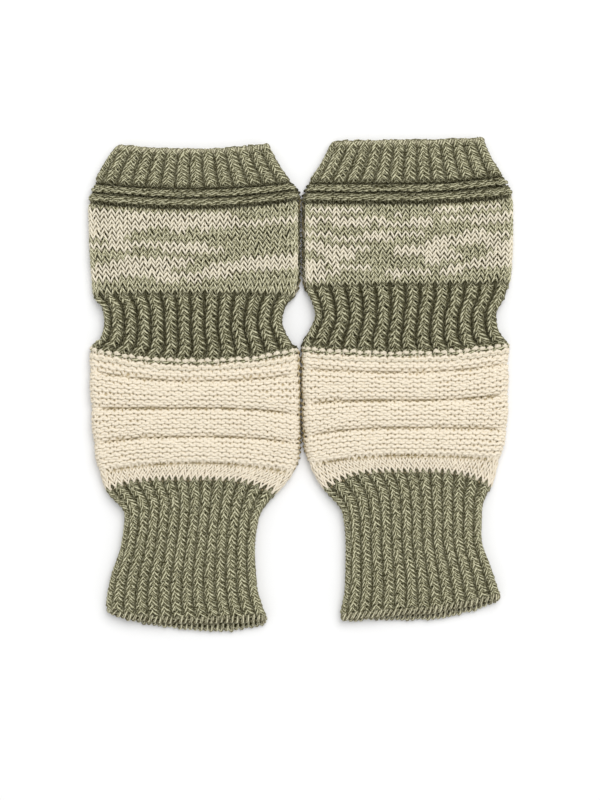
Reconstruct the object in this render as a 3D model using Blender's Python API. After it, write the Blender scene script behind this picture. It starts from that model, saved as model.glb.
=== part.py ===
"""A pair of long fingerless gloves, hand-knitted in the round and laid flat, side by side.

Each glove is one tube of cloth without a thumb hole, made in six bands: a ribbed top cuff, two garter
ridges, a plain variegated band, a ribbed waist, a cream band with raised welts, and a ribbed wrist cuff.
It lies on its back: X points to the right, Y points up the arm to the top cuff, and Z points up from the
table. The origin is the middle of the pair on the table. Sizes are in millimetres until metres() turns them.
"""

import math
from typing import NamedTuple

import bmesh
import bpy

STITCHES_ROUND = 56     # stitches in each round, half of them on each side of the flattened tube
LAYER_GAP = 0.8         # air between the upper and the under layer
SEAM_GAP = 0.3          # between two bands that are knitted onto each other
RIB_RELIEF = 0.9        # from the bottom of a rib's groove to its top
GARTER_RELIEF = 1.0
WELT_RELIEF = 1.5
FURROW_DIP = 0.7        # how far the cloth sinks where two bands meet
FURROW_REACH = 1.5      # how far along the cloth that dip reaches
EDGE_ROLL = 0.7         # how far the cast-off roll stands out of the wrist cuff
EDGE_ROLL_WIDTH = 4.2
RIM_ROUNDING = 0.6      # how far the cast-on edge falls away
FULL_WELT = 13.0        # a welt this long stands at its full height, a shorter one lower
RIDGE_ROUNDNESS = 0.55  # power of the sine that shapes a ridge: less is blunter, with sharper furrows
RIDGE_FLOOR = 0.4       # share of a ridge's relief that its furrows lie below the plain tube

UNDER_SPANS = 6         # straight lengths across the flat underside
INSIDE_POINTS = 18      # points round the plain inside
INSIDE_SPAN = 12.0      # about how far apart the inside's courses are drawn

# Shares of a stretch of cloth at which its outside has a course of points
GARTER_SHARES = (0.2, 0.5, 0.8)
WELT_SHARES = (0.08, 0.25, 0.5, 0.75, 0.92, 1.0)
BELOW_WELTS_SHARES = (0.25, 0.6)
PLAIN_SHARES = (0.3, 0.5, 0.7)
SHORT_RIB_SHARES = (0.45,)
LONG_RIB_SHARES = (0.25, 0.5, 0.75)
WRIST_SHARES = (0.07, 0.17, 0.28, 0.42, 0.58, 0.75, 0.9)
ROLL_SHARES = (0.15, 0.5, 0.85)
NEAR_SEAM = (1.5, 3.7)  # how far from a seam the cloth gets extra courses
SMOOTH_UP_TO = math.radians(40)

# Places of points across the upper layer, in stitches: in each rib, and in from each side fold
RIB_PLACES = (0, 1, 1.5)
FOLD_PLACES = (0, 0.6, 1.3)


class Section(NamedTuple):
    """One course of knitting across the flattened tube, in millimetres."""

    down: float         # from the top rim, along the glove's middle line
    left: float         # the side fold on the left, from the middle line
    right: float        # the side fold on the right
    rise_left: float    # how much higher than at the middle the course lies at the left fold
    rise_right: float
    bend: float         # 2 for an even bow, more where the course turns only near the folds
    height: float       # outside height of the two layers together, without relief
    slip_left: float    # how much further down the under layer reaches, on the left
    slip_right: float


class Band(NamedTuple):
    """A stretch of one stitch pattern, from one named section to another."""

    name: str
    start: str
    end: str
    form: str
    material: str


LEFT_GLOVE = {
    "top_rim": Section(0.0, -36.2, 36.0, 1.9, 2.6, 2.0, 5.8, 0.0, 0.0),
    "top_rib_middle": Section(9.8, -42.8, 41.6, 2.4, 1.9, 2.0, 6.0, 0.0, 0.0),
    "first_furrow": Section(19.5, -47.6, 47.2, 2.6, 3.3, 2.0, 5.9, 0.0, 0.0),
    "last_furrow": Section(28.0, -50.2, 49.5, 2.6, 4.0, 2.0, 5.6, 0.0, 0.0),
    "plain_middle": Section(47.8, -49.7, 49.5, 2.4, 2.4, 2.0, 6.0, 0.0, 0.0),
    "plain_low": Section(61.5, -48.8, 49.5, 2.0, 2.4, 2.0, 5.7, 0.0, 0.0),
    "waist_top": Section(68.3, -47.9, 47.8, -1.0, -1.0, 2.0, 5.6, 0.0, 0.0),
    "waist_upper": Section(76.0, -43.3, 44.0, 1.3, 1.0, 2.0, 6.2, 0.0, 0.0),
    "waist_middle": Section(85.0, -42.1, 42.6, 3.3, 2.9, 2.0, 6.4, 0.0, 0.0),
    "waist_lower": Section(94.5, -43.8, 46.0, 4.8, 4.2, 2.0, 6.2, 0.0, 0.0),
    "waist_end": Section(101.2, -49.5, 49.0, 6.2, 5.2, 2.0, 5.8, 0.0, 0.0),
    "cream_furrow_1": Section(109.7, -49.3, 49.5, 4.8, 3.3, 2.0, 6.0, 0.0, 0.0),
    "cream_furrow_2": Section(122.6, -48.6, 49.7, 0.0, -2.9, 2.5, 6.0, 0.0, 0.0),
    "cream_furrow_3": Section(136.1, -47.4, 49.5, -3.3, -3.1, 2.5, 6.0, 0.0, 0.0),
    "cream_furrow_4": Section(149.2, -44.7, 47.1, -4.3, -4.8, 2.0, 5.8, 0.0, 0.0),
    "wrist_top": Section(156.4, -41.8, 39.6, -5.5, -7.1, 3.5, 5.6, 0.0, 0.0),
    "wrist_upper": Section(169.7, -32.6, 31.4, -3.8, -5.7, 3.0, 6.0, 0.0, 0.0),
    "wrist_middle": Section(186.8, -34.2, 29.4, -1.0, -3.3, 2.5, 6.2, 0.0, 0.0),
    "wrist_lower": Section(207.0, -39.7, 30.5, 1.7, -0.7, 2.0, 6.2, 0.3, 1.6),
    "wrist_rim": Section(225.6, -41.8, 36.0, 5.2, 1.6, 3.0, 6.2, 0.0, 6.6),
}

RIGHT_GLOVE = {
    "top_rim": Section(0.0, -36.7, 35.9, -0.7, 1.2, 2.0, 5.8, 0.0, 0.0),
    "top_rib_middle": Section(10.6, -41.7, 39.8, -0.3, 2.5, 2.0, 6.0, 0.0, 0.0),
    "first_furrow": Section(21.2, -48.0, 45.6, 0.0, 3.8, 2.0, 5.9, 0.0, 0.0),
    "last_furrow": Section(29.8, -49.5, 49.5, 0.2, 3.1, 2.0, 5.6, 0.0, 0.0),
    "plain_middle": Section(49.3, -49.5, 49.5, 0.0, 2.4, 2.0, 6.0, 0.0, 0.0),
    "plain_low": Section(61.8, -49.5, 49.0, 0.0, 1.9, 2.0, 5.7, 0.0, 0.0),
    "waist_top": Section(68.3, -48.8, 48.1, -1.4, 1.0, 2.0, 5.6, 0.0, 0.0),
    "waist_upper": Section(76.0, -46.2, 46.0, 0.2, 1.6, 2.0, 6.2, 0.0, 0.0),
    "waist_middle": Section(85.0, -44.3, 42.0, 1.9, 2.4, 2.0, 6.4, 0.0, 0.0),
    "waist_lower": Section(93.8, -47.6, 43.2, 2.2, 3.3, 2.0, 6.2, 0.0, 0.0),
    "waist_end": Section(101.6, -50.5, 47.8, 2.4, 4.3, 2.0, 5.8, 0.0, 0.0),
    "cream_furrow_1": Section(109.7, -50.4, 46.9, 1.9, 4.3, 2.0, 6.0, 0.0, 0.0),
    "cream_furrow_2": Section(123.0, -50.0, 46.9, -1.4, 2.9, 2.5, 6.0, 0.0, 0.0),
    "cream_furrow_3": Section(136.1, -49.3, 46.2, -4.0, -0.7, 2.5, 6.0, 0.0, 0.0),
    "cream_furrow_4": Section(149.9, -47.2, 42.8, -4.5, -2.1, 2.0, 5.8, 0.0, 0.0),
    "wrist_top": Section(156.8, -41.0, 39.5, -8.6, -7.6, 3.5, 5.6, 0.0, 0.0),
    "wrist_upper": Section(170.2, -31.4, 35.2, -7.1, -5.0, 3.0, 6.0, 0.0, 0.0),
    "wrist_middle": Section(187.1, -29.9, 34.8, -5.5, -1.4, 2.5, 6.2, 0.0, 0.0),
    "wrist_lower": Section(207.3, -30.2, 39.6, -3.2, 3.6, 1.7, 6.2, 0.6, 0.8),
    "wrist_rim": Section(225.4, -33.6, 44.4, -3.2, 7.6, 1.3, 6.2, 1.8, 4.4),
}

# Where each glove's top rim crosses its middle line, on the table
MIDDLE_TOP = {"left": (-50.9, 112.1), "right": (51.6, 116.3)}

BANDS = (
    Band("top_rib", "top_rim", "first_furrow", "rib", "olive_marl"),
    Band("garter_band", "first_furrow", "last_furrow", "garter", "olive_marl"),
    Band("variegated_band", "last_furrow", "waist_top", "plain", "variegated_yarn"),
    Band("waist_rib", "waist_top", "waist_end", "rib", "olive_marl"),
    Band("welted_body", "waist_end", "wrist_top", "welts", "cream_yarn"),
    Band("wrist_rib", "wrist_top", "wrist_rim", "edged rib", "olive_marl"),
)
WELT_FURROWS = ("cream_furrow_1", "cream_furrow_2", "cream_furrow_3", "cream_furrow_4")
DARK_FURROWS = ("first_furrow", "last_furrow", "waist_top")

# Colour in linear light, and roughness
MATERIALS = {
    "olive_marl": ((0.20, 0.19, 0.12, 1.0), 0.95),
    "variegated_yarn": ((0.42, 0.39, 0.28, 1.0), 0.95),
    "cream_yarn": ((0.80, 0.72, 0.56, 1.0), 0.95),
}


def metres(value):
    """A size in millimetres, as Blender's metres."""
    return value * 0.001


def end_slope(near, far, near_span, far_span):
    """The slope at a curve's end, kept on the side of its first span so that the curve never overshoots."""
    slope = ((2 * near_span + far_span) * near - near_span * far) / (near_span + far_span)
    if slope * near <= 0:
        return 0.0
    if near * far <= 0 and abs(slope) > 3 * abs(near):
        return 3 * near
    return slope


def curve_slopes(places, values):
    """Slopes of a smooth curve through the values that stays between its neighbours."""
    spans = [b - a for a, b in zip(places, places[1:])]
    rates = [(b - a) / span for a, b, span in zip(values, values[1:], spans)]
    slopes = [end_slope(rates[0], rates[1], spans[0], spans[1])]
    for i in range(1, len(rates)):
        if rates[i - 1] * rates[i] <= 0:
            slopes.append(0.0)
            continue
        before = 2 * spans[i] + spans[i - 1]
        after = spans[i] + 2 * spans[i - 1]
        slopes.append((before + after) / (before / rates[i - 1] + after / rates[i]))
    slopes.append(end_slope(rates[-1], rates[-2], spans[-1], spans[-2]))
    return slopes


class Glove:
    """The flattened tube of one glove, with every course worked out from the named sections."""

    def __init__(self, sections):
        self.sections = sections
        rows = list(sections.values())
        self.places = [row.down for row in rows]
        self.columns = [[row[i] for row in rows] for i in range(1, len(Section._fields))]
        self.slopes = [curve_slopes(self.places, column) for column in self.columns]

    def section(self, down):
        """The section at a distance down from the top rim."""
        low = max(i for i, place in enumerate(self.places[:-1]) if place <= down or i == 0)
        span = self.places[low + 1] - self.places[low]
        t = (down - self.places[low]) / span
        values = []
        for column, slopes in zip(self.columns, self.slopes):
            value = (2 * t**3 - 3 * t**2 + 1) * column[low] + (3 * t**2 - 2 * t**3) * column[low + 1]
            value += span * ((t**3 - 2 * t**2 + t) * slopes[low] + (t**3 - t**2) * slopes[low + 1])
            values.append(value)
        return Section(down, *values)


def stadium(around, width, height):
    """A point on a flat tube's outline: how far it is in from the left fold, its height, and which way it faces.

    around runs from 0 at the left fold, over the top to 0.5 at the right fold, and back underneath to 1.
    """
    radius = height / 2
    flat = width - height
    quarter = math.pi * radius / 2
    under = around > 0.5
    if under:
        around = 1 - around
    distance = around * 2 * (flat + 2 * quarter)
    if distance < quarter:
        angle = distance / radius
        face_x, face_z = -math.cos(angle), math.sin(angle)
        x = radius * (1 + face_x)
    elif distance <= quarter + flat:
        face_x, face_z = 0.0, 1.0
        x = radius + distance - quarter
    else:
        angle = (distance - quarter - flat) / radius
        face_x, face_z = math.sin(angle), math.cos(angle)
        x = width - radius * (1 - face_x)
    if under:
        face_z = -face_z
    return x, radius * (1 + face_z), face_x, face_z


def course_y(section, x, under):
    """How far up the table the course lies, at x in from the left fold; under is 0 on top and 1 beneath."""
    share = min(max(x / (section.right - section.left), 0.0), 1.0)
    if share < 0.5:
        rise = section.rise_left * (1 - 2 * share) ** section.bend
    else:
        rise = section.rise_right * (2 * share - 1) ** section.bend
    slip = (section.slip_left * (1 - share) + section.slip_right * share) * math.sin(math.pi * share) ** 0.5
    return rise - section.down - slip * under


def outer_point(section, around, relief):
    """A point of the tube's outside, moved out by the relief except where it rests on the table."""
    width = section.right - section.left
    x, z, face_x, face_z = stadium(around, width, section.height)
    upper = min(max((z / section.height - 0.3) / 0.4, 0.0), 1.0)
    y = course_y(section, x, 1 - z / section.height)
    lift = relief * upper
    return section.left + x + face_x * lift, y, z + face_z * lift


def inner_point(section, around):
    """A point of the plain inside, where the two layers almost touch."""
    wall = (section.height - LAYER_GAP) / 2
    width = section.right - section.left - 2 * wall
    x, z, _, _ = stadium(around, width, LAYER_GAP)
    x += wall
    z += wall
    return section.left + x, course_y(section, x, 1 - z / section.height), z


def rib_wave(stitch):
    """Height of single rib across the stitches: a flat knit wale, then a groove where the purl wale hides."""
    place = stitch % 2
    if place <= 1:
        return 0.5
    return 0.5 - min(place - 1, 2 - place) * 2


def ridge_wave(share):
    """Height of a ridge across its courses: round on top, with a sharp furrow at each side."""
    return math.sin(math.pi * share) ** RIDGE_ROUNDNESS - RIDGE_FLOOR


def dip(distance):
    """How far the cloth sinks at a distance from a dark furrow."""
    return FURROW_DIP * math.exp(-((distance / FURROW_REACH) ** 2))


def furrow_dip(glove, down):
    """How far the cloth sinks beside the nearest of the dark furrows between bands."""
    return dip(min(abs(down - glove.sections[name].down) for name in DARK_FURROWS))


def welt_marks(glove, band):
    """The courses at which the cream welts begin and end."""
    return [glove.sections[name].down for name in (band.start,) + WELT_FURROWS]


def welt_relief(marks, down):
    """Height of the cream welts, and of the plain stretch below the last furrow."""
    for low, high in zip(marks, marks[1:]):
        if low <= down < high:
            return WELT_RELIEF * ridge_wave((down - low) / (high - low)) * min(1, (high - low) / FULL_WELT)
    return -dip(down - marks[-1])


def relief_at(glove, band, down, around):
    """How far the knitting stands out of the plain tube at one place of a band."""
    start = glove.sections[band.start].down
    end = glove.sections[band.end].down
    if band.form == "plain":
        return -furrow_dip(glove, down)
    if band.form == "garter":
        ridge = (down - start) / (end - start) * 2 % 1
        return GARTER_RELIEF * ridge_wave(ridge)
    if band.form == "welts":
        return welt_relief(welt_marks(glove, band), down)
    ribs = RIB_RELIEF * rib_wave(around * STITCHES_ROUND)
    if band.form == "rib":
        rim = RIM_ROUNDING * math.exp(-((down / FURROW_REACH) ** 2))
        return ribs - furrow_dip(glove, down) - rim
    to_roll = end - EDGE_ROLL_WIDTH - down
    if to_roll >= 0:
        return ribs - dip(to_roll)
    return EDGE_ROLL * (2 * math.sin(math.pi * (end - down) / EDGE_ROLL_WIDTH) ** RIDGE_ROUNDNESS - 1)


def between(start, end, shares):
    """Places at the given shares of the way from start to end."""
    return [start + (end - start) * share for share in shares]


def band_courses(glove, band):
    """Distances down the glove at which a band's outside is drawn, and those of its plain inside."""
    start = glove.sections[band.start].down
    end = glove.sections[band.end].down
    first = start if band.start == "top_rim" else start + SEAM_GAP / 2
    last = end if band.end == "wrist_rim" else end - SEAM_GAP / 2
    if band.form == "garter":
        middle = (start + end) / 2
        courses = between(start, middle, GARTER_SHARES) + [middle] + between(middle, end, GARTER_SHARES)
    elif band.form == "welts":
        marks = welt_marks(glove, band)
        courses = []
        for low, high in zip(marks, marks[1:]):
            courses += between(low, high, WELT_SHARES)
        courses += between(marks[-1], end, BELOW_WELTS_SHARES)
    elif band.form == "edged rib":
        roll = end - EDGE_ROLL_WIDTH
        courses = between(start, roll, WRIST_SHARES) + [roll - NEAR_SEAM[0], roll]
        courses += between(roll, end, ROLL_SHARES)
    elif band.start == "top_rim":
        courses = [start + NEAR_SEAM[0]] + between(start, end, SHORT_RIB_SHARES) + [end - NEAR_SEAM[0]]
    else:
        shares = PLAIN_SHARES if band.form == "plain" else LONG_RIB_SHARES
        courses = [start + step for step in NEAR_SEAM] + between(start, end, shares)
        courses += [end - step for step in reversed(NEAR_SEAM)]
    spans = max(1, round((last - first) / INSIDE_SPAN))
    inside = between(first, last, [i / spans for i in range(spans + 1)])
    return [first] + courses + [last], inside


def upper_places(form):
    """Places across the upper layer, as shares of the way round, where a band's outside has points."""
    half = STITCHES_ROUND // 2
    if "rib" in form:
        stitches = [2 * rib + place for rib in range(half // 2) for place in RIB_PLACES]
    else:
        stitches = list(FOLD_PLACES) + list(range(3, half - 1, 2))
        stitches += [half - place for place in reversed(FOLD_PLACES[1:])]
    return [stitch / STITCHES_ROUND for stitch in stitches]


def under_places(section):
    """Places round the underside: the right fold, the flat rest face and the rounding before the left fold."""
    quarter = math.pi * section.height / 4
    turn = quarter / (2 * (section.right - section.left - section.height) + 4 * quarter)
    flat = [0.5 + turn + (0.5 - 2 * turn) * i / UNDER_SPANS for i in range(UNDER_SPANS + 1)]
    return [0.5, 0.5 + turn / 2] + flat + [1 - turn / 2]


def add_skin(mesh, rings, inside_out):
    """Join rings of equal count with quads, facing outwards, or inwards on an inside wall."""
    for upper, lower in zip(rings, rings[1:]):
        for i in range(len(upper)):
            j = (i + 1) % len(upper)
            corners = (upper[i], lower[i], lower[j], upper[j])
            mesh.faces.new(corners[::-1] if inside_out else corners)


def add_rim(mesh, outer, inner, outer_places, inner_places, at_top):
    """Close a wall's end between an outside ring and an inside ring that has fewer points."""
    outer_ends = outer_places[1:] + [1.0]
    inner_ends = inner_places[1:] + [1.0]
    i = j = 0
    while i < len(outer) or j < len(inner):
        a = outer[i % len(outer)]
        b = inner[j % len(inner)]
        step_out = j == len(inner) or (i < len(outer) and outer_ends[i] <= inner_ends[j])
        if step_out:
            corners = (a, outer[(i + 1) % len(outer)], b)
            i += 1
        else:
            corners = (a, inner[(j + 1) % len(inner)], b)
            j += 1
        mesh.faces.new(corners if at_top else corners[::-1])


def material_named(name):
    """A matt yarn in one of the pair's colours."""
    material = bpy.data.materials.get(name)
    if material:
        return material
    colour, roughness = MATERIALS[name]
    material = bpy.data.materials.new(name)
    material.use_nodes = True
    shader = material.node_tree.nodes["Principled BSDF"]
    shader.inputs["Base Color"].default_value = colour
    shader.inputs["Roughness"].default_value = roughness
    shader.inputs["Metallic"].default_value = 0.0
    return material


def add_band(side, glove, band, holder):
    """Model one band of a glove as a closed wall of cloth and hang it on the glove's empty."""
    mesh = bmesh.new()

    def vertex(point):
        return mesh.verts.new([metres(value) for value in point])

    outside, inside = band_courses(glove, band)
    outer_places, outer_rings = [], []
    for down in outside:
        section = glove.section(down)
        places = upper_places(band.form) + under_places(section)
        points = [outer_point(section, place, relief_at(glove, band, down, place)) for place in places]
        outer_places.append(places)
        outer_rings.append([vertex(point) for point in points])
    inner_places = [i / INSIDE_POINTS for i in range(INSIDE_POINTS)]
    inner_rings = []
    for down in inside:
        section = glove.section(down)
        inner_rings.append([vertex(inner_point(section, place)) for place in inner_places])

    add_skin(mesh, outer_rings, False)
    add_skin(mesh, inner_rings, True)
    add_rim(mesh, outer_rings[0], inner_rings[0], outer_places[0], inner_places, True)
    add_rim(mesh, outer_rings[-1], inner_rings[-1], outer_places[-1], inner_places, False)

    name = f"{side}_{band.name}"
    data = bpy.data.meshes.new(name)
    mesh.to_mesh(data)
    mesh.free()
    data.shade_smooth()
    data.set_sharp_from_angle(angle=SMOOTH_UP_TO)
    data.materials.append(material_named(band.material))
    piece = bpy.data.objects.new(name, data)
    bpy.context.collection.objects.link(piece)
    piece.parent = holder


def add_glove(side, sections):
    """Model one glove, band by band from its top rim."""
    holder = bpy.data.objects.new(f"{side}_glove", None)
    bpy.context.collection.objects.link(holder)
    x, y = MIDDLE_TOP[side]
    holder.location = (metres(x), metres(y), 0)
    glove = Glove(sections)
    for band in BANDS:
        add_band(side, glove, band, holder)


def main():
    for old in list(bpy.data.objects):
        bpy.data.objects.remove(old, do_unlink=True)
    add_glove("left", LEFT_GLOVE)
    add_glove("right", RIGHT_GLOVE)


main()
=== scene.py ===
"""A pair of long fingerless gloves, hand-knitted in olive marl, variegated and cream yarn, laid flat.

Every round of knitting is a length of yarn swept along the path that its stitches take: knit stitches show
their two legs, purl stitches their bumps, and single rib alternates them. The rounds follow the flattened
tube of each glove, whose sections are the same as the solids' and are given in millimetres.
"""

import logging
import math
from dataclasses import dataclass, field
from enum import Enum
from typing import NamedTuple

import bpy
import numpy as np
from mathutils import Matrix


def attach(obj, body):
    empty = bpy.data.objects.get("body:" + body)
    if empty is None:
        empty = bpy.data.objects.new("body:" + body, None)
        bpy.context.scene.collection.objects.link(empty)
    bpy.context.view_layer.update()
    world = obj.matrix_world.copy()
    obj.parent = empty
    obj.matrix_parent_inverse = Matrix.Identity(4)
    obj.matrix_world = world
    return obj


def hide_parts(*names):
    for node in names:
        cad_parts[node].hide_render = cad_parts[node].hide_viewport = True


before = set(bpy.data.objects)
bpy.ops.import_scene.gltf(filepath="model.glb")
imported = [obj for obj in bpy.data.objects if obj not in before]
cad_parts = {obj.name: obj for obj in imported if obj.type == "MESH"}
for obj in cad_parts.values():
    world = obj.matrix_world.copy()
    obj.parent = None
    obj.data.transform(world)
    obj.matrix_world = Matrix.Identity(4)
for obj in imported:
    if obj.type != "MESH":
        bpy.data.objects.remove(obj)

LOG = logging.getLogger("gloves")

MM = 0.001
STITCHES_ROUND = 56
SIDE_STITCHES = STITCHES_ROUND // 2
QUAD_CORNERS = 4
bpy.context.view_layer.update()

Tree = bpy.types.NodeTree
Socket = bpy.types.NodeSocket
Material = bpy.types.Material
Array = np.ndarray


class Section(NamedTuple):
    """One course across a flattened glove, in millimetres; the columns are the same as the solids'."""

    down: float
    left: float
    right: float
    rise_left: float
    rise_right: float
    bend: float
    height: float
    slip_left: float = 0.0
    slip_right: float = 0.0


LEFT_GLOVE = {
    "top_rim": Section(0.0, -36.2, 36.0, 1.9, 2.6, 2.0, 5.8),
    "top_rib_middle": Section(9.8, -42.8, 41.6, 2.4, 1.9, 2.0, 6.0),
    "first_furrow": Section(19.5, -47.6, 47.2, 2.6, 3.3, 2.0, 5.9),
    "last_furrow": Section(28.0, -50.2, 49.5, 2.6, 4.0, 2.0, 5.6),
    "plain_middle": Section(47.8, -49.7, 49.5, 2.4, 2.4, 2.0, 6.0),
    "plain_low": Section(61.5, -48.8, 49.5, 2.0, 2.4, 2.0, 5.7),
    "waist_top": Section(68.3, -47.9, 47.8, -1.0, -1.0, 2.0, 5.6),
    "waist_upper": Section(76.0, -43.3, 44.0, 1.3, 1.0, 2.0, 6.2),
    "waist_middle": Section(85.0, -42.1, 42.6, 3.3, 2.9, 2.0, 6.4),
    "waist_lower": Section(94.5, -43.8, 46.0, 4.8, 4.2, 2.0, 6.2),
    "waist_end": Section(101.2, -49.5, 49.0, 6.2, 5.2, 2.0, 5.8),
    "cream_furrow_1": Section(109.7, -49.3, 49.5, 4.8, 3.3, 2.0, 6.0),
    "cream_furrow_2": Section(122.6, -48.6, 49.7, 0.0, -2.9, 2.5, 6.0),
    "cream_furrow_3": Section(136.1, -47.4, 49.5, -3.3, -3.1, 2.5, 6.0),
    "cream_furrow_4": Section(149.2, -44.7, 47.1, -4.3, -4.8, 2.0, 5.8),
    "wrist_top": Section(156.4, -41.8, 39.6, -5.5, -7.1, 3.5, 5.6),
    "wrist_upper": Section(169.7, -32.6, 31.4, -3.8, -5.7, 3.0, 6.0),
    "wrist_middle": Section(186.8, -34.2, 29.4, -1.0, -3.3, 2.5, 6.2),
    "wrist_lower": Section(207.0, -39.7, 30.5, 1.7, -0.7, 2.0, 6.2, 0.3, 1.6),
    "wrist_rim": Section(225.6, -41.8, 36.0, 5.2, 1.6, 3.0, 6.2, 0.0, 6.6),
}

RIGHT_GLOVE = {
    "top_rim": Section(0.0, -36.7, 35.9, -0.7, 1.2, 2.0, 5.8),
    "top_rib_middle": Section(10.6, -41.7, 39.8, -0.3, 2.5, 2.0, 6.0),
    "first_furrow": Section(21.2, -48.0, 45.6, 0.0, 3.8, 2.0, 5.9),
    "last_furrow": Section(29.8, -49.5, 49.5, 0.2, 3.1, 2.0, 5.6),
    "plain_middle": Section(49.3, -49.5, 49.5, 0.0, 2.4, 2.0, 6.0),
    "plain_low": Section(61.8, -49.5, 49.0, 0.0, 1.9, 2.0, 5.7),
    "waist_top": Section(68.3, -48.8, 48.1, -1.4, 1.0, 2.0, 5.6),
    "waist_upper": Section(76.0, -46.2, 46.0, 0.2, 1.6, 2.0, 6.2),
    "waist_middle": Section(85.0, -44.3, 42.0, 1.9, 2.4, 2.0, 6.4),
    "waist_lower": Section(93.8, -47.6, 43.2, 2.2, 3.3, 2.0, 6.2),
    "waist_end": Section(101.6, -50.5, 47.8, 2.4, 4.3, 2.0, 5.8),
    "cream_furrow_1": Section(109.7, -50.4, 46.9, 1.9, 4.3, 2.0, 6.0),
    "cream_furrow_2": Section(123.0, -50.0, 46.9, -1.4, 2.9, 2.5, 6.0),
    "cream_furrow_3": Section(136.1, -49.3, 46.2, -4.0, -0.7, 2.5, 6.0),
    "cream_furrow_4": Section(149.9, -47.2, 42.8, -4.5, -2.1, 2.0, 5.8),
    "wrist_top": Section(156.8, -41.0, 39.5, -8.6, -7.6, 3.5, 5.6),
    "wrist_upper": Section(170.2, -31.4, 35.2, -7.1, -5.0, 3.0, 6.0),
    "wrist_middle": Section(187.1, -29.9, 34.8, -5.5, -1.4, 2.5, 6.2),
    "wrist_lower": Section(207.3, -30.2, 39.6, -3.2, 3.6, 1.7, 6.2, 0.6, 0.8),
    "wrist_rim": Section(225.4, -33.6, 44.4, -3.2, 7.6, 1.3, 6.2, 1.8, 4.4),
}


class Stitch(Enum):
    """The stitch patterns of the bands."""

    KNIT = "knit"
    PURL = "purl"
    RIB = "rib"


class Yarn(Enum):
    """The yarns of the rounds."""

    OLIVE = "olive marl"
    DYED = "variegated"
    CREAM = "cream"


class Stretch(NamedTuple):
    """Some rounds of one stitch pattern between two named sections of a glove."""

    start: str
    end: str
    rounds: int
    stitch: Stitch
    yarn: Yarn


class Band(NamedTuple):
    """The knitting that takes the place of one solid."""

    name: str
    slot: str
    stretches: tuple


class Round(NamedTuple):
    """One round of stitches; its place down the glove and the rounds' spacing there are in millimetres."""

    band: Band
    stitch: Stitch
    yarn: Yarn
    down: float
    pitch: float


BANDS = (
    Band("top_rib", "olive_marl", (Stretch("top_rim", "first_furrow", 9, Stitch.RIB, Yarn.OLIVE),)),
    Band(
        "garter_band",
        "olive_marl",
        (Stretch("first_furrow", "last_furrow", 4, Stitch.PURL, Yarn.OLIVE),),
    ),
    Band(
        "variegated_band",
        "variegated_yarn",
        (Stretch("last_furrow", "waist_top", 17, Stitch.KNIT, Yarn.DYED),),
    ),
    Band("waist_rib", "olive_marl", (Stretch("waist_top", "waist_end", 12, Stitch.RIB, Yarn.OLIVE),)),
    Band(
        "welted_body",
        "cream_yarn",
        (
            Stretch("waist_end", "cream_furrow_1", 3, Stitch.PURL, Yarn.CREAM),
            *(
                Stretch(f"cream_furrow_{i}", f"cream_furrow_{i + 1}", 6, Stitch.PURL, Yarn.CREAM)
                for i in (1, 2, 3)
            ),
            Stretch("cream_furrow_4", "wrist_top", 3, Stitch.KNIT, Yarn.CREAM),
        ),
    ),
    Band("wrist_rib", "olive_marl", (Stretch("wrist_top", "wrist_rim", 28, Stitch.RIB, Yarn.OLIVE),)),
)


class Furrow(NamedTuple):
    """A crease across the upper layer: where it lies, its depth, half width and opening, in millimetres.

    Some creases fade out towards the side folds.
    """

    mark: str
    below: float
    dip: float
    reach: float
    opening: float
    fades: bool


FURROWS = (
    Furrow("first_furrow", -0.45, 1.9, 0.8, 0.25, False),
    Furrow("first_furrow", 3.7, 1.7, 0.75, 0.2, False),
    Furrow("last_furrow", -0.1, 2.0, 1.0, 0.3, False),
    Furrow("waist_top", 0.0, 0.35, 0.9, 0.1, False),
    Furrow("waist_end", 2.3, 0.4, 0.5, 0.2, False),
    Furrow("cream_furrow_1", 0.5, 1.3, 0.75, 0.1, True),
    Furrow("cream_furrow_2", 0.5, 1.5, 0.8, 0.15, True),
    Furrow("cream_furrow_3", 0.5, 1.4, 0.75, 0.1, True),
    Furrow("cream_furrow_4", 0.0, 0.9, 0.65, 0.0, True),
)


class Edge(NamedTuple):
    """A cast-on or cast-off edge, whose strands wind round the rim; sizes in millimetres.

    Its middle lies inside the rim and drops below the cloth's outside, and its strands swing up and down.
    """

    inside: float
    turns: int
    tall: float
    drop: float


CAST_ON = Edge(1.1, 56, 0.85, 1.65)
CAST_OFF = Edge(2.1, 33, 1.6, 1.75)

# The under layer has the upper one's pale lengths in another order of rounds
UNDER_STEP = 7
UNDER_SHIFT = 3
UNDER_ROUNDS = 16

# Pale lengths of the dyed yarn as they fall on each glove's upper side: by round, the first and last stitch
PALE_LEFT = {
    1: ((0, 18),),
    2: ((0, 19),),
    3: ((0, 20), (21, 27)),
    4: ((0, 7), (11, 12), (15, 15)),
    5: ((0, 5),),
    6: ((0, 4),),
    7: ((3, 15),),
    8: ((0, 5), (10, 17)),
    10: ((5, 13), (20, 27)),
    11: ((3, 12), (16, 27)),
    12: ((1, 10), (15, 27)),
    13: ((0, 18),),
    14: ((0, 3), (9, 11), (13, 14)),
}
PALE_RIGHT = {
    1: ((1, 7), (17, 20), (22, 25)),
    2: ((4, 4), (12, 12)),
    3: ((0, 10), (14, 16), (18, 21), (22, 27)),
    4: ((1, 1), (4, 8), (10, 16), (22, 26)),
    6: ((0, 3), (8, 15), (21, 23)),
    7: ((4, 11), (17, 26)),
    8: ((0, 2), (16, 21), (22, 25), (27, 27)),
    9: ((0, 8), (12, 18), (24, 27)),
    10: ((2, 6), (12, 19), (25, 27)),
    11: ((3, 6), (16, 20), (24, 27)),
    12: ((0, 4), (16, 17), (22, 27)),
    13: ((0, 2), (4, 8), (19, 27)),
    14: ((0, 4), (11, 16), (18, 20)),
    15: ((0, 2), (12, 12)),
}


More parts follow.
